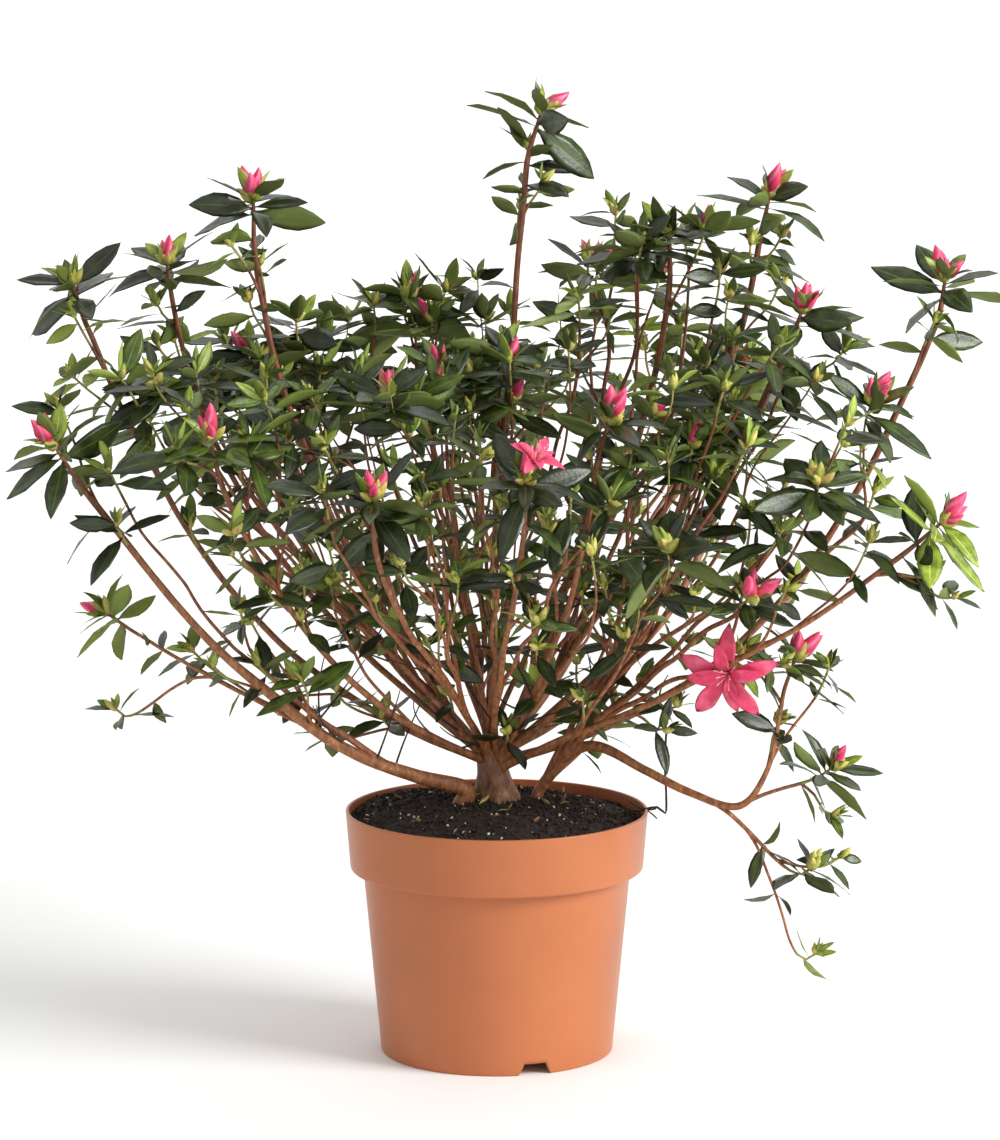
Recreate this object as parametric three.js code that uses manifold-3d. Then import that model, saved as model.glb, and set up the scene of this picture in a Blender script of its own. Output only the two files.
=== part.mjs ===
// Potted evergreen azalea: a plastic nursery pot with its compost, a short stump that forks at the
// compost, slender boughs that fan out from it, and the tufts and pads of leaves that they carry.
// Millimetres, +Z up, origin on the ground at the middle of the pot, -Y towards the front.
import * as THREE from "three";
import { mergeVertices } from "three/addons/utils/BufferGeometryUtils.js";
import Module from "manifold-3d";

const wasm = await Module();
wasm.setup();

// ---------------------------------------------------------------- driving dimensions
const POT = {
  height: 154,
  rimRadius: 95,
  footRadius: 74.5,
  bodyRadius: 84, // just under the rim band
  bandHeight: 37,
  bandStep: 8, // how far the rim band stands out from the body
  stepFall: 1.5, // how far the underside of the band falls towards the body
  wall: 2,
  floorLift: 8, // underside of the floor above the ground
  footWall: 3.5, // thickness of the ring that the pot stands on
  centreFoot: 14, // radius of the flat foot under the middle of the floor
  footEdge: [1, 3], // the chamfer round its foot: how wide and how tall
  sides: 40,
};
const NOTCH = { count: 3, firstBearing: -71, wide: 23, narrow: 14, height: 7.5, depth: 14 };
const COMPOST = {
  below: 6, // how far its edge lies below the rim
  rise: 7, // how far it has risen halfway up the mound
  moundTop: 160,
  moundRadius: 34,
  clear: 0.4, // between it and the pot
};
const STUMP = {
  height: 32,
  flareRadius: 13.5,
  forkRadius: 9,
  footY: 6, // how far behind the pot's middle it stands
  forkY: 9,
  lean: -4, // how far its fork stands to the left of its foot
  sides: 10,
  steps: 4,
};
const GAP = 0.4; // left between a piece and the neighbour that cuts it
const BOUGH_SIDES = 6;
const STEP_LENGTH = 34; // of a bough, along its line
const SWEEP = 0.4; // how long a bough holds its first and last directions, as a share of its span

// Boughs. foot is where the line starts, and it ends in the middle of the mass named in "to", where
// the mass cuts it off, or at the point "end". out and in are the [bearing, pitch] in degrees in
// which it leaves its foot and reaches its end: bearing 0 is +X, 90 is +Y, and pitch is above the
// level. thick is its diameter at both ends. The left sweep and the arch are split at their bends.
const BOUGHS = {
  bough_left_sweep: {
    foot: [-20, -6, 168], out: [206, 16],
    end: [-146, -70, 246], in: [206, 40], thick: [11.5, 6.6],
  },
  bough_left_rise: {
    foot: [-147, -70.5, 247], out: [206, 42],
    to: "leaves_far_left", in: [190, 52], thick: [6.4, 4],
  },
  bough_left_low: {
    foot: [-100, -46, 209], out: [196, 24],
    to: "leaves_left_low", in: [172, 30], thick: [3.6, 2.2],
  },
  bough_tall_leader: {
    foot: [-5, 12, 193], out: [0, 89],
    to: "leaves_crown_tip", in: [8, 85], thick: [6, 3.8],
  },
  bough_left_leader: {
    foot: [-11, 6, 188], out: [186, 56],
    to: "leaves_left_leader", in: [195, 84], thick: [5.8, 3.8],
  },
  bough_left_back: {
    foot: [-11, 14, 187], out: [158, 34],
    to: "leaves_left_back", in: [170, 82], thick: [5.4, 3.4],
  },
  bough_far_left_upper: {
    foot: [-12, 9, 184], out: [178, 20],
    to: "leaves_far_left_upper", in: [172, 68], thick: [5.6, 3.4],
  },
  bough_right_leader: {
    foot: [4, 15, 190], out: [18, 52],
    to: "leaves_right_leader", in: [30, 80], thick: [6.2, 4],
  },
  bough_mid_right_leader: {
    foot: [3, 11, 193], out: [4, 64],
    to: "leaves_mid_right", in: [0, 86], thick: [6.4, 4],
  },
  bough_far_right_upper: {
    foot: [7, 7, 184], out: [-4, 14],
    to: "leaves_far_right_upper", in: [-3, 70], thick: [7, 4],
  },
  bough_far_right: {
    foot: [5, 0, 182], out: [-46, 24],
    to: "leaves_far_right", in: [-6, 40], thick: [5.6, 3.2],
  },
  bough_right_crest: {
    foot: [5, 5, 189], out: [-12, 38],
    to: "leaves_right_crest", in: [-16, 66], thick: [8, 4.6],
  },
  bough_arch_riser: {
    foot: [22, 12, 154], out: [-25, 66],
    end: [63, -9, 194], in: [-33, 4], thick: [9, 7.4],
  },
  bough_arch_runner: {
    foot: [64.5, -10, 194], out: [-33, -14],
    end: [149, -58, 169], in: [-28, -6], thick: [7, 5],
  },
  bough_arch_rise: {
    foot: [151, -59, 170], out: [-20, 42],
    to: "leaves_low_right", in: [20, 78], thick: [4, 2.6],
  },
  bough_front_centre: {
    foot: [-1, 1, 190], out: [-92, 42],
    to: "leaves_front_centre", in: [-86, 62], thick: [5, 3.2],
  },
  bough_front_left: {
    foot: [-6, 1, 189], out: [-112, 46],
    to: "leaves_front_left", in: [-110, 64], thick: [5.4, 3.4],
  },
  bough_front_far_left: {
    foot: [-10, 3, 185], out: [-150, 26],
    to: "leaves_front_far_left", in: [-138, 64], thick: [5.6, 3.4],
  },
  bough_front_right: {
    foot: [3, 2, 188], out: [-66, 42],
    to: "leaves_front_right", in: [-72, 72], thick: [5, 3.2],
  },
  bough_back_left: {
    foot: [-8, 16, 188], out: [134, 30],
    to: "leaves_back_left", in: [140, 78], thick: [9, 4.4],
  },
  bough_back_right: {
    foot: [4, 17, 186], out: [30, 22],
    to: "leaves_back_right", in: [66, 78], thick: [8.6, 4.4],
  },
  bough_back: {
    foot: [-2, 18, 190], out: [92, 36],
    to: "leaves_back", in: [90, 66], thick: [6.8, 4],
  },
};

// Masses of leaves: the middle, how wide (x), deep (y) and tall (z), and how many lobes its edge has.
const MASSES = {
  leaves_crown_tip: { at: [22, 20, 586], size: [94, 88, 62], lobes: 5 },
  leaves_left_leader: { at: [-151, -30, 537], size: [112, 98, 66], lobes: 6 },
  leaves_left_back: { at: [-208, 60, 489], size: [100, 94, 52], lobes: 5 },
  leaves_far_left_upper: { at: [-264, 8, 482], size: [86, 84, 52], lobes: 5 },
  leaves_far_left: { at: [-266, -100, 394], size: [100, 96, 74], lobes: 6 },
  leaves_left_low: { at: [-240, -40, 284], size: [54, 48, 28], lobes: 4 },
  leaves_right_leader: { at: [171, 70, 530], size: [96, 90, 56], lobes: 5 },
  leaves_mid_right: { at: [110, 10, 510], size: [112, 98, 66], lobes: 6 },
  leaves_back_right_top: { at: [60, 100, 482], size: [94, 92, 62], lobes: 5 },
  leaves_far_right_upper: { at: [279, -20, 487], size: [84, 78, 54], lobes: 5 },
  leaves_right_shoulder: { at: [228, -60, 416], size: [74, 74, 48], lobes: 4 },
  leaves_far_right: { at: [264, -132, 354], size: [94, 78, 48], lobes: 5 },
  leaves_right_crest: { at: [186, -48, 470], size: [96, 92, 60], lobes: 6 },
  leaves_low_right: { at: [178, -60, 258], size: [86, 72, 48], lobes: 5 },
  leaves_low_right_tip: { at: [206, -58, 190], size: [62, 52, 40], lobes: 4 },
  leaves_low_right_hang: { at: [194, -70, 128], size: [56, 48, 70], lobes: 4 },
  leaves_right_low: { at: [152, -122, 306], size: [98, 82, 54], lobes: 5 },
  leaves_front_left_high: { at: [-67, -98, 424], size: [112, 98, 64], lobes: 6 },
  leaves_front_far_left: { at: [-174, -130, 402], size: [110, 96, 62], lobes: 5 },
  leaves_front_left: { at: [-76, -192, 376], size: [118, 92, 60], lobes: 6 },
  leaves_front_centre: { at: [17, -204, 388], size: [98, 86, 66], lobes: 5 },
  leaves_front_right: { at: [62, -146, 416], size: [94, 88, 62], lobes: 5 },
  leaves_front_right_low: { at: [104, -188, 346], size: [92, 82, 52], lobes: 5 },
  leaves_left_side: { at: [-208, -20, 420], size: [108, 96, 76], lobes: 6 },
  leaves_centre: { at: [-14, 0, 420], size: [136, 124, 88], lobes: 7 },
  leaves_centre_back_left: { at: [-56, 96, 462], size: [116, 106, 72], lobes: 6 },
  leaves_right_side: { at: [128, -62, 398], size: [122, 108, 84], lobes: 6 },
  leaves_right_front: { at: [194, -128, 378], size: [88, 84, 56], lobes: 5 },
  leaves_left_inner: { at: [-126, 34, 432], size: [118, 106, 88], lobes: 6 },
  leaves_lower_left: { at: [-102, -62, 306], size: [132, 100, 62], lobes: 6 },
  leaves_lower_right: { at: [84, -34, 300], size: [96, 90, 60], lobes: 5 },
  leaves_back_left: { at: [-160, 148, 402], size: [122, 116, 72], lobes: 6 },
  leaves_back: { at: [0, 210, 398], size: [126, 106, 72], lobes: 6 },
  leaves_back_right: { at: [160, 158, 408], size: [122, 112, 72], lobes: 6 },
};
const MASS = {
  small: 95, // masses narrower than this have fewer faces
  girth: 0.95, // mean half width, as a share of half the size
  lobe: 0.13, // depth of the lobes round its edge, as a share of half the size
  lump: 0.1, // height of the lumps, on the same terms
  lumpWaves: [3.1, 2.7], // how closely the lumps follow one another, across and deep
  under: 0.8, // how full its underside is
  turn: 2.4, // between one mass's lobes and the next one's, in radians
};

// ---------------------------------------------------------------- materials
const look = (color, roughness) => new THREE.MeshStandardMaterial({ color, roughness, metalness: 0 });
const POT_PLASTIC = look(0xcf8058, 0.5);
const DARK_COMPOST = look(0x241c16, 0.95);
const BROWN_BARK = look(0x7a4a30, 0.8);
const GREEN_LEAF = look(0x3d5231, 0.5);

// ---------------------------------------------------------------- solids and meshes
function solidOf(geometry) {
  const bare = geometry.clone();
  bare.deleteAttribute("normal");
  bare.deleteAttribute("uv");
  const merged = mergeVertices(bare, 1e-3);
  return new wasm.Manifold(
    new wasm.Mesh({
      numProp: 3,
      vertProperties: merged.attributes.position.array,
      triVerts: new Uint32Array(merged.index.array),
    }),
  );
}

function geometryOf(solid) {
  const mesh = solid.getMesh();
  const count = mesh.vertProperties.length / mesh.numProp;
  const positions = new Float32Array(count * 3);
  for (let i = 0; i < count; i++)
    positions.set(mesh.vertProperties.subarray(i * mesh.numProp, i * mesh.numProp + 3), i * 3);
  const geometry = new THREE.BufferGeometry();
  geometry.setAttribute("position", new THREE.BufferAttribute(positions, 3));
  geometry.setIndex(new THREE.BufferAttribute(new Uint32Array(mesh.triVerts), 1));
  geometry.computeVertexNormals();
  return geometry;
}

// A cut can leave chips behind: the piece itself is the largest body.
function largestBody(solid) {
  return solid.decompose().reduce((a, b) => (b.volume() > a.volume() ? b : a));
}

const azalea = new THREE.Group();
function add(name, geometry, material) {
  const mesh = new THREE.Mesh(geometry, material);
  mesh.name = name;
  azalea.add(mesh);
}

const radians = THREE.MathUtils.degToRad;
function heading([bearing, pitch]) {
  const b = radians(bearing);
  const p = radians(pitch);
  return new THREE.Vector3(Math.cos(b) * Math.cos(p), Math.sin(b) * Math.cos(p), Math.sin(p));
}

// ---------------------------------------------------------------- pot and compost
// A LatheGeometry turns about +Y, so what it makes is stood up onto +Z.
function turned(profile, sides) {
  const points = profile.map(([radius, height]) => new THREE.Vector2(radius, height));
  return new THREE.LatheGeometry(points, sides).rotateX(Math.PI / 2);
}

const bandBottom = POT.height - POT.bandHeight;
const bodyTop = bandBottom - POT.stepFall;
const bandRadius = POT.bodyRadius + POT.bandStep;

// A drainage notch in the foot ring: wider at the ground than at its top.
function notchBlock(bearing) {
  const outline = new THREE.Shape();
  outline.moveTo(-NOTCH.wide / 2, -1);
  outline.lineTo(NOTCH.wide / 2, -1);
  outline.lineTo(NOTCH.narrow / 2, NOTCH.height);
  outline.lineTo(-NOTCH.narrow / 2, NOTCH.height);
  return new THREE.ExtrudeGeometry(outline, { depth: NOTCH.depth, bevelEnabled: false })
    .rotateX(Math.PI / 2)
    .rotateZ(Math.PI / 2)
    .translate(POT.footRadius - NOTCH.depth / 2, 0, 0)
    .rotateZ(radians(bearing));
}

function pot() {
  const w = POT.wall;
  const profile = [
    [0, 0],
    [POT.centreFoot, 0],
    [POT.centreFoot, POT.floorLift],
    [POT.footRadius - POT.footWall, POT.floorLift],
    [POT.footRadius - POT.footWall, 0],
    [POT.footRadius - POT.footEdge[0], 0],
    [POT.footRadius, POT.footEdge[1]],
    [POT.bodyRadius, bodyTop],
    [bandRadius, bandBottom],
    [POT.rimRadius, POT.height],
    [POT.rimRadius - w, POT.height],
    [bandRadius - w, bandBottom + w],
    [POT.bodyRadius - w, bodyTop + w],
    [POT.footRadius - w, POT.floorLift + w],
    [0, POT.floorLift + w],
  ];
  let solid = solidOf(turned(profile, POT.sides));
  for (let i = 0; i < NOTCH.count; i++)
    solid = solid.subtract(solidOf(notchBlock(NOTCH.firstBearing + (360 / NOTCH.count) * i)));
  add("pot", geometryOf(solid), POT_PLASTIC);
}

// Raised a little, the same solid is the cutter that keeps the boughs clear of the surface.
function compostGeometry(raised) {
  const inside = POT.wall + COMPOST.clear;
  const surface = POT.height - COMPOST.below;
  const slope = (POT.rimRadius - POT.bodyRadius - POT.bandStep) / POT.bandHeight;
  const surfaceRadius = POT.rimRadius - inside - slope * COMPOST.below;
  const profile = [
    [0, POT.floorLift + inside],
    [POT.footRadius - inside, POT.floorLift + inside],
    [POT.bodyRadius - inside, bodyTop + inside],
    [bandRadius - inside, bandBottom + inside],
    [surfaceRadius, surface],
    [(surfaceRadius + COMPOST.moundRadius) / 2, surface + COMPOST.rise],
    [COMPOST.moundRadius, COMPOST.moundTop],
    [0, COMPOST.moundTop],
  ];
  return turned(profile, POT.sides).translate(0, 0, raised);
}

// ---------------------------------------------------------------- stump and boughs
// A cylinder bent along a line: its rings take the line's points, and its radius changes on the way.
function limb(line, radiusAt, sides, steps) {
  const geometry = new THREE.CylinderGeometry(1, 1, 1, sides, steps);
  const frames = line.computeFrenetFrames(steps, false);
  const position = geometry.attributes.position;
  const point = new THREE.Vector3();
  for (let i = 0; i < position.count; i++) {
    const along = position.getY(i) + 0.5;
    const ring = Math.round(along * steps);
    line.getPointAt(ring / steps, point);
    const radius = radiusAt(along);
    point.addScaledVector(frames.normals[ring], position.getX(i) * radius);
    point.addScaledVector(frames.binormals[ring], -position.getZ(i) * radius);
    position.setXYZ(i, point.x, point.y, point.z);
  }
  return geometry;
}

// The stump leans, but its rings stay level, so that its foot is a flat cut on the compost.
function stumpSolid(extra) {
  const foot = COMPOST.moundTop + GAP - extra;
  const line = new THREE.LineCurve3(
    new THREE.Vector3(0, STUMP.footY, foot),
    new THREE.Vector3(STUMP.lean, STUMP.forkY, foot + STUMP.height + 2 * extra),
  );
  const flare = STUMP.flareRadius - STUMP.forkRadius;
  const radiusAt = (t) => STUMP.forkRadius + extra + flare * (1 - t) ** 3;
  const geometry = new THREE.CylinderGeometry(1, 1, 1, STUMP.sides, STUMP.steps);
  const position = geometry.attributes.position;
  for (let i = 0; i < position.count; i++) {
    const along = position.getY(i) + 0.5;
    const middle = line.getPoint(along);
    const radius = radiusAt(along);
    position.setXYZ(
      i,
      middle.x + position.getX(i) * radius,
      middle.y - position.getZ(i) * radius,
      middle.z,
    );
  }
  return solidOf(geometry);
}

function boughLine(bough) {
  const foot = new THREE.Vector3(...bough.foot);
  const end = new THREE.Vector3(...(bough.end ?? MASSES[bough.to].at));
  const reach = foot.distanceTo(end) * SWEEP;
  return new THREE.CubicBezierCurve3(
    foot,
    foot.clone().addScaledVector(heading(bough.out), reach),
    end.clone().addScaledVector(heading(bough.in), -reach),
    end,
  );
}

function boughSolid(bough, extra) {
  const line = boughLine(bough);
  const [first, last] = bough.thick;
  const radiusAt = (t) => first / 2 + (last / 2 - first / 2) * Math.sqrt(t) + extra;
  const steps = Math.max(3, Math.round(line.getLength() / STEP_LENGTH));
  return solidOf(limb(line, radiusAt, BOUGH_SIDES, steps));
}

// ---------------------------------------------------------------- masses of leaves
// A ball pulled to its own width, depth and height, with lobes round its edge, lumps on top and a
// flatter underside. Each mass has its own turn of the lobes and lumps, from its place in the list.
function massSolid(mass, index, extra) {
  const widest = Math.max(...mass.size);
  const geometry = new THREE.IcosahedronGeometry(1, widest < MASS.small ? 1 : 2);
  const position = geometry.attributes.position;
  const turn = index * MASS.turn;
  const [x, y, z] = mass.at;
  const [width, depth, height] = mass.size;
  const [across, deep] = MASS.lumpWaves;
  const n = new THREE.Vector3();
  for (let i = 0; i < position.count; i++) {
    n.fromBufferAttribute(position, i).normalize();
    const edge = Math.hypot(n.x, n.y);
    const lobe = MASS.lobe * edge * Math.cos(mass.lobes * Math.atan2(n.y, n.x) + turn);
    const lump = MASS.lump * Math.sin(across * n.x + turn) * Math.cos(deep * n.y - turn);
    const spread = MASS.girth + lobe + lump;
    const under = n.z < 0 ? MASS.under : 1;
    position.setXYZ(
      i,
      x + n.x * ((width / 2) * spread + extra),
      y + n.y * ((depth / 2) * spread + extra),
      z + n.z * ((height / 2) * spread * under + extra),
    );
  }
  return solidOf(geometry);
}

// ---------------------------------------------------------------- assembly
pot();
add("compost", compostGeometry(0), DARK_COMPOST);

const stump = stumpSolid(0);
add("stump", geometryOf(stump), BROWN_BARK);

const massNames = Object.keys(MASSES);
const massCutter = (name) => massSolid(MASSES[name], massNames.indexOf(name), GAP);
const compostCutter = solidOf(compostGeometry(GAP));
const boughCutters = [];
for (const [name, bough] of Object.entries(BOUGHS)) {
  let solid = boughSolid(bough, 0).subtract(stumpSolid(GAP)).subtract(compostCutter);
  for (const cutter of boughCutters) solid = solid.subtract(cutter);
  if (bough.to) solid = solid.subtract(massCutter(bough.to));
  add(name, geometryOf(largestBody(solid)), BROWN_BARK);
  boughCutters.push(boughSolid(bough, GAP));
}

const massCutters = [];
massNames.forEach((name, index) => {
  let solid = massSolid(MASSES[name], index, 0);
  for (const cutter of massCutters) solid = solid.subtract(cutter);
  Object.values(BOUGHS).forEach((bough, i) => {
    if (bough.to !== name) solid = solid.subtract(boughCutters[i]);
  });
  add(name, geometryOf(largestBody(solid)), GREEN_LEAF);
  massCutters.push(massCutter(name));
});

export default azalea;
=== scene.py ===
"""The potted azalea's looks: bark, twigs, leaves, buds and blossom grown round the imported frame,
with a moulded pot and crumbly compost. Everything is in metres, in the frame of the CAD model."""

from math import ceil, cos, pi, radians, sin, sqrt

import bpy
import numpy as np
from mathutils import Matrix, Vector, noise
from numpy.linalg import norm


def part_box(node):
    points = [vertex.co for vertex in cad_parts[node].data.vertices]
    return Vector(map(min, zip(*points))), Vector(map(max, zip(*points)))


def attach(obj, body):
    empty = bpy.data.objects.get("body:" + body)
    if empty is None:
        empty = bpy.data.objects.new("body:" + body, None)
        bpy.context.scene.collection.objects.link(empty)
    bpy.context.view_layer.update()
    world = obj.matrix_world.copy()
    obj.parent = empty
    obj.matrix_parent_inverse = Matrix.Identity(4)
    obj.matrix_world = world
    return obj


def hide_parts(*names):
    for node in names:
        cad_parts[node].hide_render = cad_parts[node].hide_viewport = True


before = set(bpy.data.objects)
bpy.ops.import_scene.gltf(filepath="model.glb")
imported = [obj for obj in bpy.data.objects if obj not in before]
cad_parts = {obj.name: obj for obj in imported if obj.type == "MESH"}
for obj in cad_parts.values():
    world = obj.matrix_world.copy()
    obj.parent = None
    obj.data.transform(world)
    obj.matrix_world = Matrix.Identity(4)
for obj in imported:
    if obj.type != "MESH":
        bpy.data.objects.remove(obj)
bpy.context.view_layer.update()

rng = np.random.default_rng(19)
noise.seed_set(19)  # without it, noise_vector takes its offset from the clock
MM = 0.001
UP = np.array([0.0, 0.0, 1.0])
GOLDEN_ANGLE = radians(137.5)

# ---- sizes and counts
LEAF_LENGTH = 47 * MM  # of a full leaf on an outer shoot
INNER_LEAF = 0.78  # leaf length between the masses, as a share of that
LOW_LEAF = 0.66  # the same in the low masses
LOW_LEADER_LEAF = 0.82  # and at the tip of a low limb
SPARSE_BELOW = 0.33  # the crown is open under this height, and its shoots are young
TOP_ABOVE = 0.40  # the top of the crown is closer grown

# How thick the wood is.
TIP_RADIUS = 0.85 * MM
PIPE_POWER = 2.5  # how the area of the twigs adds up going down
TAPER = 0.0021  # added radius for each metre down a twig
CHILD_SHARE = 0.8  # a twig's foot is no thicker than this share of the limb that it leaves
HEXAGON_MEAN = 0.93  # a round limb's radius for the same girth as a six-sided one

# How a twig finds its way.
REACH_WEIGHT = 0.55  # higher makes long parallel stems, lower makes short side twigs
TURN_WEIGHT = 1.5
LEVEL_WEIGHT = 0.6  # what it costs to grow level or down
FREE_TURN = 0.3  # radians that cost nothing
SHORTEST_TWIG = 22 * MM
TWIG_SWAY = 0.022  # sideways, as a share of the twig's length
BOUGH_SWAY = 2.2 * MM
LONG_STEMS = 0.42  # share of the shoots that rise straight from the base
LONG_STEM_FEET = (35, 110)  # mm up the wood, from and to

# Where shoots end.
TUFT_SPACING = 25.5 * MM
CLOSE, TOP_CLOSE, OPEN = 0.8, 0.90, 1.06  # its shares: low and on leaders, at the top, elsewhere
INSET = 31 * MM  # how far a tuft's tip stays inside the outline of its mass
LOW_INSET = 16 * MM  # the same in the low masses, whose leaves are short
TOP_INSET = 14 * MM  # and below the top of any mass
TRIES = {(True, True): 3, (True, False): 6, (False, True): 30, (False, False): 90}  # leader, low
LEADER_DROP = (22, 62)  # mm that a leader's side shoots end below its tip
NEIGHBOURS = 0.17  # masses nearer to each other than this have small tufts between them
LEADER_NEIGHBOURS = 0.15  # the same for a leader and a mass
# Leaf lengths as shares of a full leaf, from and to.
LEADER_SIDE, OUTER_SIDE, FILL_SIDE = (0.5, 0.75), (0.72, 0.98), (0.8, 1.05)
FOOT_SIDE, LOW_SIDE = (0.7, 0.95), (0.48, 0.72)

# Masses that are one free-standing tuft on a long stem.
LEADERS = ["leaves_" + name for name in (
    "crown_tip left_leader left_back far_left_upper left_low right_leader far_right_upper"
    " far_right right_shoulder low_right_tip low_right_hang"
).split()]
# How many pink flower buds stand in the tuft of a mass.
PINK_BUDS = {"leaves_" + name: count for name, count in dict(
    crown_tip=1, left_leader=3, left_back=2, far_left=4, front_far_left=3, front_left_high=3,
    front_left=3, front_right=3, front_centre=1, back_right_top=3, right_crest=4,
    right_shoulder=4, far_right_upper=4, far_right=3, right_low=4, low_right=4,
    low_right_tip=1, right_leader=2, left_low=1, back_left=3, back=3, back_right=3,
    centre_back_left=1,
).items()}
# By rank: leaves in the rosette, leaves down the stem and leaf buds, each least and most; the
# sizes of leaf buds and flower buds in mm; and how often a rosette takes each shade.
OTHERS = dict(stem=(0, 2), buds=(1, 3), bud_size=(8, 12), pink_size=(12, 18))
RANKS = {
    "first": dict(leaves=(8, 11), stem=(2, 5), buds=(5, 8), bud_size=(10, 16),
                  pink_size=(14, 22), shades=[0.30, 0.44, 0.24, 0.02]),
    "outer": dict(OTHERS, leaves=(6, 8), shades=[0.26, 0.38, 0.26, 0.10]),
    # The fill tufts stand inside the crown, and their darker mix of shades is painted shade.
    "fill": dict(OTHERS, leaves=(4, 6), shades=[0.45, 0.38, 0.15, 0.02]),
    "young": dict(OTHERS, leaves=(3, 5), shades=[0.28, 0.40, 0.23, 0.09]),
}
OUTER_PINK = 0.24  # share of the outer tufts with a pink bud or two


# ---- materials
def linear(r, g, b):
    """A colour given as 0 to 255 on a screen, for a shader."""
    return tuple(
        c / 12.92 if c <= 0.04045 else ((c + 0.055) / 1.055) ** 2.4
        for c in (r / 255, g / 255, b / 255)
    ) + (1.0,)

def fill(node, values):
    """Sets a node's inputs, named with _ for each space; an output is linked to its input."""
    for name, value in values.items():
        socket = node.inputs[name.replace("_", " ")]
        if isinstance(value, bpy.types.NodeSocket):
            node.id_data.links.new(value, socket)
        else:
            socket.default_value = value
    return node


class Look:
    """One Principled material whose colour wanders between a few tones."""

    def __init__(self, name, tones, scale, detail=4.0, stretch=None):
        self.material = bpy.data.materials.new(name)
        self.material.use_nodes = True
        self.nodes = self.material.node_tree.nodes
        self.place = self.node("TexCoord").outputs["Object"]
        if stretch:
            self.place = self.node("Mapping", Vector=self.place, Scale=stretch).outputs["Vector"]
        self.colour = self.ramp(self.noise(scale, detail), tones)
        self.set(Base_Color=self.colour)

    def node(self, kind, **values):
        return fill(self.nodes.new("ShaderNode" + kind), values)

    def set(self, **values):
        fill(self.nodes["Principled BSDF"], values)
        return self

    def noise(self, scale, detail=4.0):
        return self.node(
            "TexNoise", Vector=self.place, Scale=scale, Detail=detail, Roughness=0.6
        ).outputs["Fac"]

    def ramp(self, factor, tones):
        """tones is (place along the ramp, colour) pairs."""
        node = self.node("ValToRGB", Fac=factor)
        spots = node.color_ramp.elements
        tones = [(place, linear(*colour)) for place, colour in tones]
        spots[0].position, spots[0].color = tones[0]
        spots[1].position, spots[1].color = tones[-1]
        for place, colour in tones[1:-1]:
            spots.new(place).color = colour
        return node.outputs["Color"]

    def deeper_above(self, low, high, tint):
        """From one height to another the colour takes a tint."""
        place = self.node("TexCoord").outputs["Object"]
        height = self.node("SeparateXYZ", Vector=place).outputs["Z"]
        share = self.node("MapRange", Value=height, From_Min=low, From_Max=high)
        share, tint = share.outputs["Result"], linear(*tint)
        mix = self.node("MixRGB", Fac=share, Color1=self.colour, Color2=tint)
        mix.blend_type = "MULTIPLY"
        return self.set(Base_Color=mix.outputs["Color"])

    def rough(self, low, high, scale=300):
        node = self.node("MapRange", Value=self.noise(scale), To_Min=low, To_Max=high)
        return self.set(Roughness=node.outputs["Result"])

    def bump(self, scale, depth, strength=0.6, detail=4.0):
        height = self.noise(scale, detail)
        node = self.node("Bump", Height=height, Strength=strength, Distance=depth)
        return self.set(Normal=node.outputs["Normal"])


def plain_tones(dark, light):
    return [(0.32, dark), (0.68, light)]


# Each from dark to light; the order is that of the shares in RANKS.
LEAF_SHADES = {
    "deep": ((26, 34, 11), (42, 52, 19)),
    "dark": ((38, 50, 16), (60, 74, 26)),
    "mid": ((60, 79, 22), (88, 107, 36)),
    "fresh": ((108, 130, 36), (146, 164, 62)),
}


def leaf_looks(shade):
    """A leaf's top, rib and underside."""
    dark, light = LEAF_SHADES[shade]
    rib = tuple(min(255, int(c * 1.25 + 22)) for c in light)
    under = tuple(int(c * 0.55 + u) for c, u in zip(light, (62, 68, 34)))
    deep = tuple(int(c * 0.78) for c in dark)
    pale = tuple(int(c * 1.12 + 8) for c in light)
    top = Look("leaf_top_" + shade, [(0.30, deep), (0.44, dark), (0.58, light), (0.72, pale)], 95, 8)
    top.rough(0.24, 0.44, 260).bump(420, 0.35 * MM, 0.8).set(Specular_IOR_Level=0.55)
    middle = Look("leaf_rib_" + shade, plain_tones(light, rib), 90).rough(0.4, 0.55)
    below = Look("leaf_under_" + shade, plain_tones(under, tuple(u + 16 for u in under)), 70)
    below.rough(0.6, 0.75, 200).bump(420, 0.2 * MM, 0.4).set(Specular_IOR_Level=0.25)
    return [top, middle, below]


def bark_look(name, relief, *tones):
    look = Look(name, tones, 330, 9, (1, 1, 0.4))
    look.deeper_above(0.24, 0.42, (196, 174, 164))
    return look.rough(0.42, 0.66).bump(700, relief, 0.8, 8)


BARK = bark_look(
    "azalea_bark", 0.3 * MM,
    (0.28, (102, 60, 36)), (0.50, (147, 92, 54)), (0.66, (179, 121, 75)), (0.76, (226, 190, 148)),
)
OLD_BARK = bark_look(
    "stump_bark", 0.5 * MM,
    (0.28, (76, 47, 31)), (0.50, (124, 80, 50)), (0.66, (158, 109, 72)), (0.76, (206, 166, 124)),
)
TWIG_BARK = bark_look(
    "twig_bark", 0.25 * MM,
    (0.30, (100, 56, 35)), (0.50, (147, 89, 54)), (0.66, (177, 119, 77)), (0.76, (224, 186, 144)),
)
SHOOT = Look("green_shoot", plain_tones((128, 118, 62), (162, 156, 84)), 220)
SHOOT.rough(0.5, 0.65).bump(800, 0.1 * MM)
SCALES = [
    (0.30, (134, 138, 52)), (0.48, (178, 178, 78)), (0.60, (204, 184, 104)), (0.72, (192, 118, 78)),
]
BUD_SCALE = Look("leaf_bud_scale", SCALES, 180).rough(0.4, 0.6)
PINKS = [(0.28, (186, 26, 70)), (0.5, (222, 44, 96)), (0.72, (240, 96, 138))]
PINK_PETAL = Look("pink_petal", PINKS, 120).rough(0.42, 0.6, 200).bump(600, 0.15 * MM, 0.4)
PINK_PETAL.set(Sheen_Weight=0.15, Subsurface_Weight=0.08)
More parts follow.
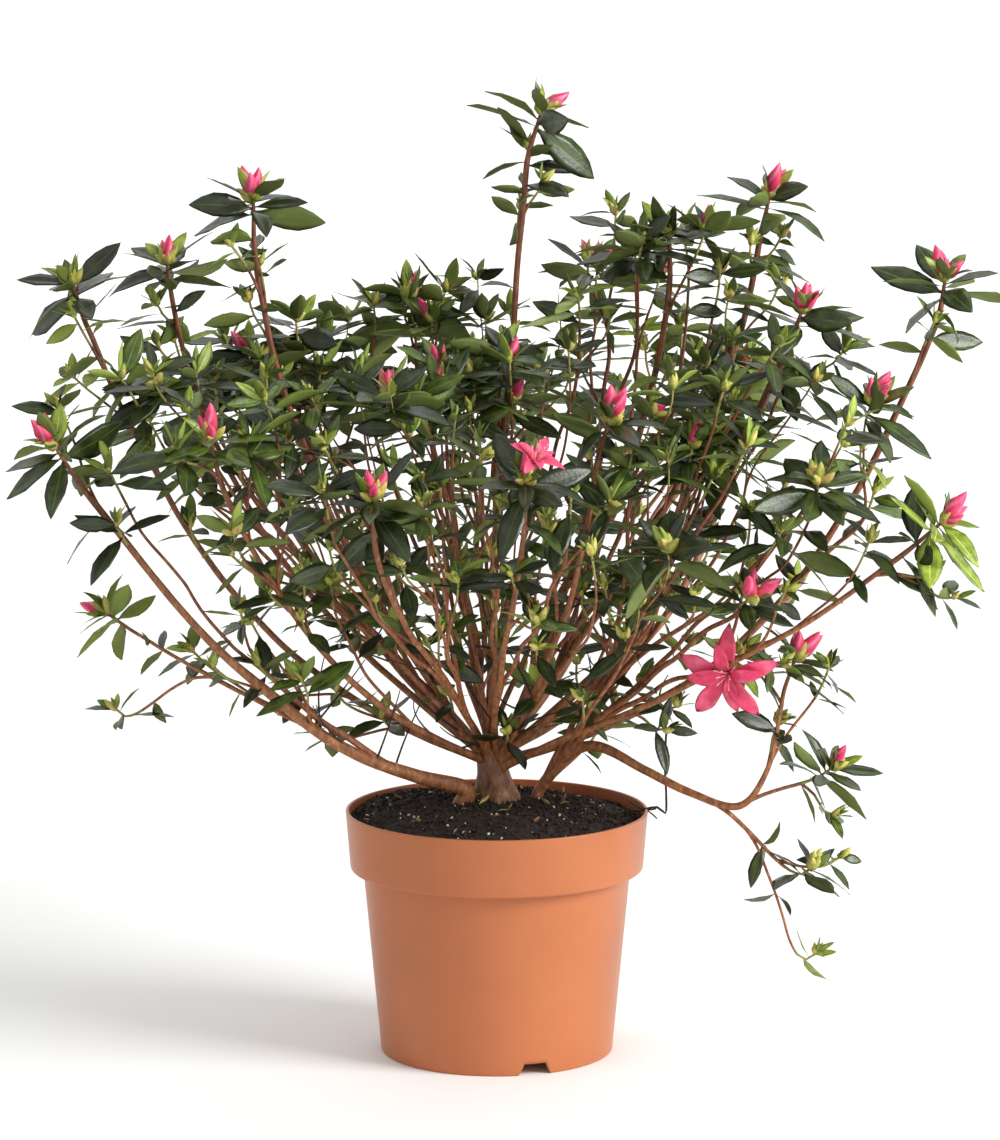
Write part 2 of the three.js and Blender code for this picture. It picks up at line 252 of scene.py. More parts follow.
OPEN_PINKS = [(0.28, (212, 36, 82)), (0.5, (234, 58, 106)), (0.72, (246, 104, 142))]
FLOWER_PETAL = Look("flower_petal", OPEN_PINKS, 90).rough(0.45, 0.6, 200).bump(500, 0.2 * MM, 0.4)
FLOWER_PETAL.set(Subsurface_Weight=0.1)
# The paler pink that the stripes round each flower bud take: a painted highlight.
PAINTED_HIGHLIGHT_PETAL = Look("painted_highlight_petal", plain_tones((214, 74, 116), (238, 130, 160)), 160)
PAINTED_HIGHLIGHT_PETAL.rough(0.42, 0.6, 200)
STAMEN = Look("stamen", plain_tones((214, 96, 120), (240, 170, 170)), 300).rough(0.5, 0.7, 200)


# ---- joined meshes from arrays
def placed(name, data):
    """A new object in the scene."""
    made = bpy.data.objects.new(name, data)
    bpy.context.scene.collection.objects.link(made)
    return made


class Heap:
    """Many small pieces of one kind, joined into one mesh."""

    def __init__(self, name, slot, looks):
        self.name, self.slot, self.looks = name, slot, looks
        self.points, self.faces, self.paint = [], [], []
        self.count = 0

    def add(self, points, faces, paint=0):
        """faces is one array, four corners each; a triangle repeats its last corner."""
        self.points.append(points)
        self.faces.append(faces + self.count)
        self.paint.append(np.broadcast_to(paint, len(faces)))
        self.count += len(points)

    def put(self, shape, at, along, face, length, paint=0):
        """Adds a shape of length 1 at a place, with its +X along a way and its +Z to a face."""
        over = unit(np.cross(face, along))
        axes = np.stack([along, over, np.cross(along, over)])
        self.add(at + shape[0] * length @ axes, shape[1], paint)

    def build(self, *nodes, smooth=True):
        """The joined piece, which rides on the root and replaces these nodes."""
        faces = [f[:3] if f[2] == f[3] else f for f in np.concatenate(self.faces).tolist()]
        mesh = bpy.data.meshes.new(self.name)
        mesh.from_pydata(np.concatenate(self.points), [], faces)
        for look in self.looks:
            mesh.materials.append(look.material)
        mesh.polygons.foreach_set("material_index", np.concatenate(self.paint).astype(np.int32))
        mesh.polygons.foreach_set("use_smooth", np.full(len(faces), smooth))
        mesh.validate()
        piece = placed(self.name, mesh)
        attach(piece, "root")
        if nodes:
            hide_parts(*nodes)
        return piece


def unit(v):
    return v / np.maximum(norm(v, axis=-1, keepdims=True), 1e-9)


def square_to(way):
    """Two directions square to a way and to each other."""
    helper = np.array([1.0, 0, 0]) if abs(way[0]) < 0.8 else np.array([0, 1.0, 0])
    side = unit(np.cross(way, helper))
    return side, np.cross(way, side)


def ring_faces(rings, sides):
    """The skin over rings of points, closed by two more points, its foot and its top."""
    k = np.arange(sides)
    after = (k + 1) % sides
    start = np.arange(rings - 1)[:, None] * sides
    skin = np.stack([start + k, start + after, start + sides + after, start + sides + k], -1)
    last, low = (rings - 1) * sides, rings * sides
    foot = np.stack([after, k, np.full(sides, low), np.full(sides, low)], -1)
    top = np.stack([last + k, last + after, np.full(sides, low + 1), np.full(sides, low + 1)], -1)
    return np.concatenate([skin.reshape(-1, 4), foot, top])


def two_skins(top, below):
    """A thin sheet from a grid of points and the grid under it; they meet at the rim."""
    rows, columns = top.shape[:2]
    points = np.concatenate([top.reshape(-1, 3), below.reshape(-1, 3)])
    i, j = (g.reshape(-1) for g in np.mgrid[: rows - 1, : columns - 1])

    def corner(a, b, skin):
        rim = (a == 0) | (a == rows - 1) | (b == 0) | (b == columns - 1)
        return np.where(rim, 0, skin * rows * columns) + a * columns + b

    around_face = [(i, j), (i + 1, j), (i + 1, j + 1), (i, j + 1)]
    upper = np.stack([corner(a, b, 0) for a, b in around_face], -1)
    lower = np.stack([corner(a, b, 1) for a, b in around_face[:1] + around_face[:0:-1]], -1)
    faces = np.concatenate([upper, lower])
    used = np.unique(faces)
    return points[used], np.searchsorted(used, faces)


def tube(line, radii, sides, relief=None):
    """A closed tube along a line. relief(at, turns) is what its skin adds to the radius."""
    ways = unit(np.gradient(line, axis=0))
    side, _ = square_to(ways[0])
    turns = np.arange(sides) * 2 * pi / sides
    rings = []
    for at, way, radius in zip(line, ways, radii):
        side = unit(side - way * side.dot(way))
        reach = np.full(sides, radius)
        if relief is not None:
            reach = reach + relief(at, turns)
        flat = (np.cos(turns) * reach)[:, None] * side
        rings.append(at + flat + (np.sin(turns) * reach)[:, None] * np.cross(way, side))
    points = np.concatenate([*rings, line[:1], line[-1:] + ways[-1:] * radii[-1] * 0.6])
    return points, ring_faces(len(line), sides)


def smooth_line(points, step):
    """A curve through the points, with its own points about a step apart."""
    points = np.asarray(points)
    padded = np.concatenate([2 * points[:1] - points[1:2], points, 2 * points[-1:] - points[-2:-1]])
    line, marks = [], []
    for i in range(len(points) - 1):
        a, b, c, d = padded[i : i + 4]
        count = max(1, round(norm(c - b) / step))
        for j in range(count):
            t = j / count
            square, cube = 2 * a - 5 * b + 4 * c - d, 3 * b - a - 3 * c + d
            line.append(0.5 * (2 * b + (c - a) * t + square * t**2 + cube * t**3))
            marks.append(i + t)
    return np.array([*line, points[-1]]), np.array([*marks, len(points) - 1.0])


# ---- limbs, read from the frame
def node_points(name):
    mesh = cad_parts[name].data
    flat = np.empty(len(mesh.vertices) * 3)
    mesh.vertices.foreach_get("co", flat)
    return np.unique(flat.reshape(-1, 3).round(6), axis=0)


def rings_of(points, link=12 * MM):
    """A bough's rings: its points lie close together in a ring, and far apart from ring to ring."""
    free = np.ones(len(points), bool)
    rings = []
    while free.any():
        todo = [int(np.flatnonzero(free)[0])]
        free[todo[0]] = False
        ring = []
        while todo:
            i = todo.pop()
            ring.append(i)
            near = np.flatnonzero(free & (norm(points - points[i], axis=1) < link))
            free[near] = False
            todo.extend(near.tolist())
        rings.append(points[ring])
    return rings


def bough_rings(name, root):
    """(middle, radius) of each ring of a bough from its foot up; None where a neighbour cut it."""
    rings = []
    for ring in rings_of(node_points(name)):
        middle = ring.mean(0)
        whole = len(ring) <= 7  # it has six corners, and a cut leaves more
        rings.append((middle, norm(ring - middle, axis=1).max() if whole else None))
    foot = min(rings, key=lambda ring: norm(ring[0] - root))[0]
    return sorted(rings, key=lambda ring: norm(ring[0] - foot))


class Wood:
    """The skeleton: every limb is a line of points that grows from a point of an older limb."""

    def __init__(self, room=90000):
        self.at, self.way = np.zeros((2, room, 3))
        self.reach = np.zeros(room)
        self.open = np.zeros(room, bool)  # False near a tip, where nothing else grows
        self.count = 0
        self.limbs = []

    def add(self, line, joint=None, radii=None, bare=0.0, tip=None):
        """bare is the length at the end that carries no further twigs."""
        first, n = self.count, len(line)
        steps = norm(np.diff(line, axis=0), axis=1)
        along = np.concatenate([[0], np.cumsum(steps)])
        self.at[first : first + n] = line
        self.way[first : first + n] = unit(np.gradient(line, axis=0))
        self.reach[first : first + n] = along + (0 if joint is None else self.reach[joint])
        self.open[first : first + n] = along < along[-1] - bare
        self.count += n
        limb = dict(first=first, line=line, along=along, joint=joint, radii=radii, tip=tip)
        self.limbs.append(limb)
        return limb

    def nearest(self, point):
        gap = norm(self.at[: self.count] - point, axis=1)
        return int(gap.argmin())

    def grow(self, tip, axis, bare=14 * MM, step=9 * MM, lowest=None):
        """A new twig to a tip, from where it costs least: near, with no sharp turn, not too far up.

        With lowest, the twig starts no further than that from the plant's foot.
        """
        to = tip - self.at[: self.count]
        gap = norm(to, axis=1)
        far = np.maximum(gap, 1e-6)
        turn = np.arccos(np.clip((to * self.way[: self.count]).sum(1) / far, -1, 1))
        rise = np.clip(to[:, 2] / far, -1, 1)
        bend = TURN_WEIGHT * np.clip(turn - FREE_TURN, 0, None) ** 1.5
        cost = gap * (1 + bend + LEVEL_WEIGHT * (1 - rise))
        cost = cost + REACH_WEIGHT * self.reach[: self.count]
        cost = cost * rng.uniform(0.9, 1.1, self.count)
        barred = ~self.open[: self.count] | (gap < SHORTEST_TWIG)
        if lowest is not None:
            barred |= self.reach[: self.count] > lowest
        cost[barred] = np.inf
        joint = int(cost.argmin())
        start, way, span = self.at[joint], self.way[joint], gap[joint]
        leave = unit(0.55 * way + 0.45 * to[joint] / span)
        a, b = start + leave * span * 0.36, tip - axis * span * 0.3
        t = np.linspace(0, 1, max(4, int(span / step)))[:, None]
        line = (1 - t) ** 3 * start + 3 * t * (1 - t) ** 2 * a
        line = line + 3 * t**2 * (1 - t) * b + t**3 * tip
        kinks = [noise.noise_vector(Vector(p) * 28) for p in line]
        line = line + span * TWIG_SWAY * np.sin(pi * t) * np.array(kinks)
        return self.add(line, joint, None, bare, (tip, axis))


wood = Wood()
CHAINS = [
    ["bough_left_sweep", "bough_left_rise"],
    ["bough_arch_riser", "bough_arch_runner", "bough_arch_rise"],
]
LAST = ["bough_left_low"]  # it grows on another bough, so that one has to be there first
masses = sorted(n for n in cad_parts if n.startswith("leaves_"))
boughs = sorted(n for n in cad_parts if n.startswith("bough_"))
mass_middles, mass_halves = {}, {}
for mass in masses:
    low, high = (np.array(corner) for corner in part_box(mass))
    mass_middles[mass], mass_halves[mass] = (low + high) / 2, (high - low) / 2

stump_points = node_points("stump")
levels = np.unique(stump_points[:, 2].round(4))
stump_rings = [stump_points[np.abs(stump_points[:, 2] - z) < 0.1 * MM] for z in levels]
stump_line = np.array([r.mean(0) for r in stump_rings])
stump_radii = np.array([norm(r - r.mean(0), axis=1).max() for r in stump_rings])
stump_foot, stump_top = stump_line[0], stump_line[-1]
wood.add(smooth_line(stump_line, 4 * MM)[0], radii=0, bare=-1)


def add_bough(names):
    """One limb along the boughs of a chain, from inside the wood that it grows on to its tuft."""
    rings = []
    for name in names:
        rings += bough_rings(name, rings[-1][0] if rings else stump_top)
    middles = np.array([ring[0] for ring in rings])
    known = [i for i, ring in enumerate(rings) if ring[1] is not None]
    radii = np.interp(np.arange(len(rings)), known, [rings[i][1] for i in known])
    foot = middles[0]
    if foot[2] < stump_foot[2] + 8 * MM:
        joint, inside = None, foot - np.array([4, 0, 14]) * MM  # it rises from the compost
    else:
        joint = wood.nearest(foot - UP * 9 * MM)
        inside = wood.at[joint]
    mass = min(masses, key=lambda m: norm(mass_middles[m] - middles[-1]))
    tip = mass_middles[mass]
    keep = norm(middles - tip, axis=1) > 12 * MM
    keep[1:] &= norm(np.diff(middles, axis=0), axis=1) > 6 * MM
    marks = np.concatenate([[inside], middles[keep], [tip]])
    radii = np.concatenate([[radii[0]], radii[keep], [TIP_RADIUS * 1.3]])
    line, places = smooth_line(marks, 5 * MM)
    radii = np.interp(places, np.arange(len(radii)), radii) * HEXAGON_MEAN
    sway = [noise.noise_vector(Vector(p) * 16) for p in line]
    steps = np.arange(len(line))
    hold = np.minimum(1, np.minimum(steps, steps[::-1]) / 6)
    line = line + np.array(sway) * (BOUGH_SWAY * hold)[:, None]
    limb = wood.add(line, joint, radii, 20 * MM, (tip, unit(line[-1] - line[-4])))
    limb["mass"] = mass
    return limb


in_chain = [name for chain in CHAINS for name in chain]
heads = [[n] for n in boughs if n not in in_chain + LAST]
bough_limbs = [add_bough(names) for names in [*CHAINS, *heads, LAST]]


# ---- tufts: where shoots end
tips = [limb["tip"][0] for limb in bough_limbs]
wanted = []  # (tip, mass or None, leaf length, rank) of each shoot that is still to grow


def lean_of(point):
    """The way a shoot at this place points: up, and more outwards further out and lower down."""
    out = np.array([point[0], point[1], 0.0])
    low = np.clip((0.34 - point[2]) / 0.2, 0, 1)
    lean = 1.5 * norm(out) + 0.6 * low
    return unit(UP + unit(out) * lean + rng.normal(0, 0.2, 3))


def far_enough(point, spacing=TUFT_SPACING):
    return min(norm(point - t) for t in tips) > spacing


def want(spot, mass, length, rank):
    tips.append(spot)
    wanted.append((spot, mass, length, rank))


def full_leaf(leader, low):
    """How long a full leaf is in a mass of this kind."""
    if not low:
        return LEAF_LENGTH
    return LEAF_LENGTH * (LOW_LEADER_LEAF if leader else LOW_LEAF)


# The open flower hangs at the near left edge of the low right mass, and a half-open one in front.
open_flower = mass_middles["leaves_low_right"] - mass_halves["leaves_low_right"] * [1.0, 1.0, 0.1]
front_flower = mass_middles["leaves_front_centre"] + np.array([4, -14, 10]) * MM
flower_room = [(0, 0, 0), (-20, -14, 0), (16, -20, 4), (-4, -16, -22)]
tips += [open_flower + np.array(gap) * MM for gap in flower_room]  # no shoot ends there

held = {limb["mass"] for limb in bough_limbs}
for mass in masses:
    middle, leader = mass_middles[mass], mass in LEADERS
    low = middle[2] < SPARSE_BELOW
    full = full_leaf(leader, low)
    if mass not in held:
        want(middle, mass, full, "first")
    inset = LOW_INSET if low else INSET
    room = np.maximum(mass_halves[mass] - [inset, inset, TOP_INSET], 4 * MM)
    share = CLOSE if leader or low else TOP_CLOSE if middle[2] > TOP_ABOVE else OPEN
    for _ in range(TRIES[leader, low]):
        spot = middle + unit(rng.normal(0, 1, 3)) * rng.random() ** 0.4 * room * 1.12
        if leader:
            spot = spot - UP * rng.uniform(*LEADER_DROP) * MM
        if far_enough(spot, TUFT_SPACING * share):
            length = full * rng.uniform(*(LEADER_SIDE if leader else OUTER_SIDE))
            want(spot, mass, length, "young" if leader or low else "outer")


def spots_between(one, other, near, tries, share, spread, drop):
    """Random places on the way from one mass to another that is near, and rather lower."""
    a, b = mass_middles[one], mass_middles[other]
    for _ in range(tries if norm(a - b) <= near else 0):
        spot = a + (b - a) * rng.uniform(*share) + rng.normal(0, spread, 3) * MM
        yield spot - UP * rng.uniform(*drop) * MM


# Between neighbouring masses the crown is closed by smaller tufts.
dense = [m for m in masses if m not in LEADERS and mass_middles[m][2] > SPARSE_BELOW]
for i, one in enumerate(dense):
    for other in dense[:i]:
        for spot in spots_between(one, other, NEIGHBOURS, 4, (0.25, 0.75), 16, (0, 34)):
            if spot[2] > SPARSE_BELOW + rng.uniform(0, 60) * MM and far_enough(spot):
                want(spot, None, LEAF_LENGTH * INNER_LEAF * rng.uniform(*FILL_SIDE), "fill")

# Shoots of middling height round the feet of the leaders.
for one in [m for m in LEADERS if mass_middles[m][2] >= SPARSE_BELOW]:
    for other in dense:
        for spot in spots_between(one, other, LEADER_NEIGHBOURS, 2, (0.6, 0.95), 12, (5, 40)):
            if far_enough(spot):
                want(spot, None, LEAF_LENGTH * rng.uniform(*FOOT_SIDE), "outer")

# Low young shoots stand up among the bare stems.
for limb in bough_limbs:
    line = limb["line"]
    for _ in range(15):
        base = line[int(len(line) * rng.uniform(0.22, 0.85))]
        spot = base + rng.normal(0, 26, 3) * MM + UP * rng.uniform(18, 60) * MM
        inside = norm(spot[:2]) < 0.2 and 0.195 < spot[2] < 0.38
        if inside and far_enough(spot, 26 * MM):
            want(spot, None, LEAF_LENGTH * rng.uniform(*LOW_SIDE), "young")

# And one holds the open flower.
want(open_flower + np.array([8, 16, 8]) * MM, None, LEAF_LENGTH * LOW_LEAF, "young")

shoots = []  # (limb, mass or None, leaf length, rank)
for limb in bough_limbs:
    full = full_leaf(leader=True, low=limb["tip"][0][2] < SPARSE_BELOW)
    shoots.append((limb, limb["mass"], full, "first"))
# The long stems grow first, from low on the boughs; all other twigs may grow on them.
wanted = [(*w, w[3] != "young" and rng.random() < LONG_STEMS) for w in wanted]
wanted.sort(key=lambda w: (not w[4], norm(w[0] - stump_top)))
for spot, mass, length, rank, from_base in wanted:
    axis = lean_of(spot)
    lowest = rng.uniform(*LONG_STEM_FEET) * MM if from_base else None
    shoots.append((wood.grow(spot, axis, lowest=lowest), mass, length, rank))


# ---- how thick the wood is
def thickness():
    """Adds up the twigs from the tips down, so that a limb is as thick as what it carries."""
    for limb in wood.limbs:
        limb["load"] = np.ones(len(limb["line"]))
    owner = np.zeros(wood.count, int)
    for k, limb in enumerate(wood.limbs):
        owner[limb["first"] : limb["first"] + len(limb["line"])] = k
    for limb in reversed(wood.limbs):
        if limb["joint"] is not None:
            parent = wood.limbs[owner[limb["joint"]]]
            spot = limb["joint"] - parent["first"]
            parent["load"][: spot + 1] += limb["load"][0]
    for limb in wood.limbs:
        if limb["radii"] is not None:
            continue
        grown = TIP_RADIUS * limb["load"] ** (1 / PIPE_POWER)
        grown = grown + TAPER * (limb["along"][-1] - limb["along"])
        parent = wood.limbs[owner[limb["joint"]]]
        if parent["radii"] is not None and np.ndim(parent["radii"]):
            at = parent["radii"][limb["joint"] - parent["first"]]
            grown = grown * min(1, CHILD_SHARE * at / grown[0])
        limb["radii"] = grown


thickness()

# ---- bark and twigs
GREEN_END = 16.8 * MM  # of each shoot
bark = Heap("bark_limbs", "bark", [BARK, OLD_BARK])


def bark_relief(depth, ridges):
    """The grain of bark, for tube(): so deep, and finer with more ridges."""

    def relief(at, turns):
        def layer(turn, ridges, place, scale):
            skin = Vector((cos(turn) * ridges, sin(turn) * ridges, place))
            return noise.noise(skin + Vector(at) * scale)

        coarse = np.array([layer(turn, ridges, 0, 34) for turn in turns])
        fine = np.array([layer(turn, ridges * 2, 9, 110) for turn in turns])
        return depth * (coarse + 0.5 * fine)

    return relief


def add_stump():
    """The stump, sunk 7 mm into the compost and 4 mm into the fork."""
    marks = [stump_line[0] - UP * 7 * MM, *stump_line[1:], stump_top + UP * 4 * MM]
    line = smooth_line(marks, 1.6 * MM)[0]
    radii = np.interp(line[:, 2], stump_line[:, 2], stump_radii)
    radii[-1] *= 0.8
    grain = bark_relief(0.9 * MM, 2.6)

    def relief(at, turns):
        """Root buttresses that fade upwards, and the grain of the bark."""
        low = np.clip((stump_foot[2] + 16 * MM - at[2]) / (18 * MM), 0, 1)
        roots = np.cos(turns * 4 + 0.8 * np.sin(turns * 2))
        buttress = 3.2 * MM * low * np.clip(roots, -0.3, 1)
        flutes = 0.9 * MM * np.sin(turns * 3 + at[2] * 60)
        return buttress + flutes + grain(at, turns)

    bark.add(*tube(line, radii, 56, relief), 1)


add_stump()
for limb in bough_limbs:
    line, radii = limb["line"], limb["radii"]
    collar = 1 + 0.22 * np.exp(-limb["along"] / (9 * MM))
    fine, places = smooth_line(line, 2.6 * MM)
    thick = np.interp(places, np.arange(len(line)), radii * collar)
    bark.add(*tube(fine, thick, 14, bark_relief(0.25 * MM, 1.6)))
bark.build("stump", *boughs)

twigs = Heap("twigs", "bark", [TWIG_BARK])
green_shoots = Heap("green_shoots", "leaves", [SHOOT])
for limb in wood.limbs[1 + len(bough_limbs) :]:
    line, places = smooth_line(limb["line"], 5 * MM)
    points = np.arange(len(limb["line"]))
    along = np.interp(places, points, limb["along"])
    thick = np.interp(places, points, limb["radii"]) * (1 + 0.3 * np.exp(-along / (5 * MM)))
    bark_part = along < along[-1] - GREEN_END
    bark_part[:3] = True
    cut = int(bark_part.sum())
    twigs.add(*tube(line[:cut], thick[:cut], 8 if thick[0] > 2.2 * MM else 6))
    if cut < len(line):
        green_shoots.add(*tube(line[cut - 1 :], thick[cut - 1 :] * 0.98, 6))
twigs.build()
green_shoots.build()

# ---- leaves
# Where a leaf's points lie: along its length, and across it from edge to edge.
ROWS = np.array([0.0, 0.08, 0.23, 0.43, 0.63, 0.81, 0.94, 1.0])
COLUMNS = np.array([-1.0, -0.52, -0.055, 0.055, 0.52, 1.0])
YOUNG_ROWS = np.array([0.0, 0.12, 0.36, 0.64, 0.88, 1.0])
YOUNG_COLUMNS = np.array([-1.0, -0.08, 0.08, 1.0])
LEAF_THICKNESS = 0.008  # as a share of its length
LEAF_WAVE = 0.05
TOP, RIB, UNDER = 0, 1, 2  # the places of leaf_looks()


def blade(width, droop, fold, twist, wave, rows, columns):
    """A leaf of length 1 along +X, face up: its points, its faces and the look of each face."""
    swell = np.sin(pi * rows**1.05) ** 0.85
    half = width / 2 * np.maximum(swell, 0.0)
    half[0], half[1], half[-1] = 0.018, max(0.026, half[1] * 0.6), 0.004
    u, v = np.meshgrid(rows, columns, indexing="ij")
    w = half[:, None] * columns
    height = np.abs(w) * fold - droop * u**2 - 0.35 * width * (v**2) * 0.12
    height = height + wave * np.sin(u * 15 + v * 2) * np.abs(v) * half[:, None]
    turn = twist * (u - 0.2)
    across = w * np.cos(turn) - height * np.sin(turn) * 0.3
    top = np.stack([u - 0.3 * droop * u**2, across, height + w * np.sin(turn)], -1)
    points, faces = two_skins(top, top - [0, 0, LEAF_THICKNESS])
    strips, upper = len(columns) - 1, len(faces) // 2
    paint = np.full(len(faces), UNDER)
    paint[:upper] = np.where(np.arange(upper) % strips == strips // 2, RIB, TOP)
    return points, faces, paint


MATURE = [blade(*form, LEAF_WAVE, ROWS, COLUMNS) for form in [  # width, droop, fold, twist
    (0.33, 0.08, 0.24, 0.15),
    (0.36, 0.14, 0.16, -0.30),
    (0.29, 0.04, 0.34, 0.40),
    (0.40, 0.20, 0.20, 0.10),
    (0.34, 0.00, 0.28, -0.20),
    (0.30, 0.24, 0.38, 0.50),
    (0.37, -0.10, 0.22, 0.25),
]]
YOUNG = [blade(*form, 0, YOUNG_ROWS, YOUNG_COLUMNS) for form in [
    (0.27, -0.04, 0.55, 0.1),
    (0.24, 0.08, 0.70, -0.2),
    (0.30, 0.16, 0.45, 0.2),
]]


def pod(radius, rows, sides, twist=2.4, ridge=0.08, point=1.15):
    """A closed bud of length 1 along +X: full near its foot, then pointed, its scales twisted."""
    u = np.linspace(0, 1, rows)
    girth = radius * np.sin(pi * u**0.75) ** 0.8 * (1 - u * 0.25) ** point
    girth[0], girth[-1] = radius * 0.35, 0.004
    turns = np.arange(sides) * 2 * pi / sides
    t = turns[None, :] + u[:, None] * twist
    reach = girth[:, None] * (1 + ridge * np.cos(3 * turns)[None, :])
    along = np.broadcast_to(u[:, None], t.shape)
    points = np.stack([along, np.cos(t) * reach, np.sin(t) * reach], -1).reshape(-1, 3)
    return np.concatenate([points, [[0, 0, 0], [1, 0, 0]]]), ring_faces(rows, sides)


LEAF_BUD = pod(0.27, 7, 6)
SCALE_CUP = pod(0.42, 6, 8, ridge=0.12, point=2.0)
FLOWER_BUD = pod(0.22, 11, 9, twist=2.2, ridge=0.14, point=0.35)
ANTHER = pod(0.34, 5, 6)
CRUMB = pod(0.5, 4, 5, twist=0.4, ridge=0.0, point=0.0)
PETAL_FACE, SCALE_FACE, PAINTED_HIGHLIGHT_FACE = 0, 1, 2
# Every third strip round each flower bud, in the grooves between its ridges, is painted paler pink
# as a highlight.
HIGHLIGHT_STRIPES = np.where(np.arange(len(FLOWER_BUD[1])) % 9 % 3 == 1, PAINTED_HIGHLIGHT_FACE, PETAL_FACE)

leaf_heaps = {shade: Heap("leaves_" + shade, "leaves", leaf_looks(shade)) for shade in LEAF_SHADES}
leaf_buds = Heap("leaf_buds", "leaves", [BUD_SCALE])
pink_buds = Heap("flower_buds", "leaves", [PINK_PETAL, BUD_SCALE, PAINTED_HIGHLIGHT_PETAL])


def angle(low, high):
    return radians(rng.uniform(low, high))


def some(least, most):
    return int(rng.integers(least, most + 1))


def add_leaf(shade, shapes, at, along, face, length):
    shape = shapes[rng.integers(len(shapes))]
    leaf_heaps[shade].put(shape, at, along, face, length, shape[2])


def around(axis, turn, lift):
    """A way at this turn round an axis, lifted from square to it."""
    side, over = square_to(axis)
    flat = cos(turn) * side + sin(turn) * over
    return unit(flat * cos(lift) + axis * sin(lift))


def leaf_face(along, axis):
    """The upper face looks along the shoot and to the light, with a little roll."""
    face = 0.42 * axis + 0.3 * UP + rng.normal(0, 0.36, 3)
    return unit(face - along * face.dot(along))


def sag(along, much):
    return unit(along - UP * much)


def add_pink_bud(at, axis, length, turn):
    """A flower bud that leans out from a shoot's tip, on a cup of scales."""
    way = around(axis, turn, angle(52, 80))
    pink_buds.put(SCALE_CUP, at, way, around(way, 0, 0), length * 0.42, SCALE_FACE)
    face = around(way, rng.uniform(0, 6), 0)
    pink_buds.put(FLOWER_BUD, at + way * length * 0.12, way, face, length, HIGHLIGHT_STRIPES)


def back_from_tip(limb, back):
    """The place on a limb this far back from its tip."""
    place = limb["along"][-1] - back
    return np.array([np.interp(place, limb["along"], limb["line"][:, k]) for k in range(3)])


def dress(limb, mass, length, rank):
    """Leaves, young leaves and buds round one shoot's tip."""
    about = RANKS[rank]
    tip, axis = limb["tip"]
    line, along = limb["line"], limb["along"]
    phase = rng.uniform(0, 2 * pi)
    shade = rng.choice(list(LEAF_SHADES), p=about["shades"])
    count = some(*about["leaves"])
    for k in range(count):  # the rosette, from its oldest leaf up
        grown = k / (count - 1)
        at = back_from_tip(limb, (1 - grown) * 10 * MM)
        lift = radians(-8 + 34 * grown) + rng.normal(0, 0.15)
        way = sag(around(axis, phase + k * GOLDEN_ANGLE, lift), 0.06)
        size = length * (1.06 - 0.3 * grown) * rng.uniform(0.84, 1.1)
        add_leaf(shade, MATURE, at, way, leaf_face(way, axis), size)
    for k in range(some(2, 4)):  # half-grown leaves inside it
        way = around(axis, phase + 0.7 + k * GOLDEN_ANGLE, angle(44, 70))
        other = rng.choice([shade, "mid", "fresh"])
        face = leaf_face(way, axis)
        add_leaf(other, MATURE, tip - axis * MM, way, face, length * rng.uniform(0.42, 0.64))
    for k in range(some(*about["stem"])):  # older leaves down the stem
        place = along[-1] - rng.uniform(16, 58) * MM
        spot = int(np.searchsorted(along, place))
        if spot < 3 or place < 25 * MM:
            continue
        stem = unit(line[min(spot + 1, len(line) - 1)] - line[spot - 1])
        way = sag(around(stem, phase + (k + count) * GOLDEN_ANGLE, angle(-5, 38)), 0.15)
        other = rng.choice(["deep", "dark"])
        face = leaf_face(way, stem)
        add_leaf(other, MATURE, line[spot], way, face, length * rng.uniform(0.6, 0.95))
    for k in range(some(1, 3)):  # the youngest
        way = around(axis, phase + 1.1 + k * GOLDEN_ANGLE, angle(46, 76))
        face = leaf_face(way, axis)
        add_leaf("fresh", YOUNG, tip, way, face, length * rng.uniform(0.26, 0.44))
    for _ in range(some(*about["buds"])):
        way = around(axis, rng.uniform(0, 6.3), angle(30, 84))
        size = rng.uniform(*about["bud_size"]) * MM
        leaf_buds.put(LEAF_BUD, tip - axis * MM, way, around(way, 0, 0), size)
    pinks = PINK_BUDS.get(mass, 0) if rank == "first" else 0
    if rank == "outer" and rng.random() < OUTER_PINK:
        pinks = some(1, 2)
    for k in range(pinks):
        size = rng.uniform(*about["pink_size"]) * MM
        add_pink_bud(tip, axis, size, phase + k * 2.2)


for shoot in shoots:
    dress(*shoot)

for shade, heap in leaf_heaps.items():
    heap.build(*(masses if shade == "dark" else ()))
leaf_buds.build()
pink_buds.build()

# ---- open flowers
PETAL_THICKNESS = 0.012  # as a share of its length
PETAL_SPANS = [(0.29, 0.36), (0.06, 0.30), (0.02, 0.045)]  # of its width, curl and wave
STAMENS = 7


def petal(width, curl, wave):
    """A pointed petal of length 1 along +X: narrow foot, widest past its middle, wavy edge."""
    u, v = np.linspace(0, 1, 10), np.linspace(-1, 1, 7)
    half = width / 2 * (np.sin(pi * u**1.25) ** 0.75 + 0.16 * (1 - u))
    half[-1] = 0.006
    w = half[:, None] * v
    u, v = np.meshgrid(u, v, indexing="ij")
    height = 0.20 * np.sin(pi * u * 0.9) - curl * u**2 + 0.35 * w * v
    height = height + wave * np.sin(u * 11 + v * 2.5) * v**2
    top = np.stack([u * (1 - 0.15 * curl), w, height], -1)
    return two_skins(top, top - [0, 0, PETAL_THICKNESS])


flowers = Heap("flowers", "leaves", [FLOWER_PETAL, STAMEN])


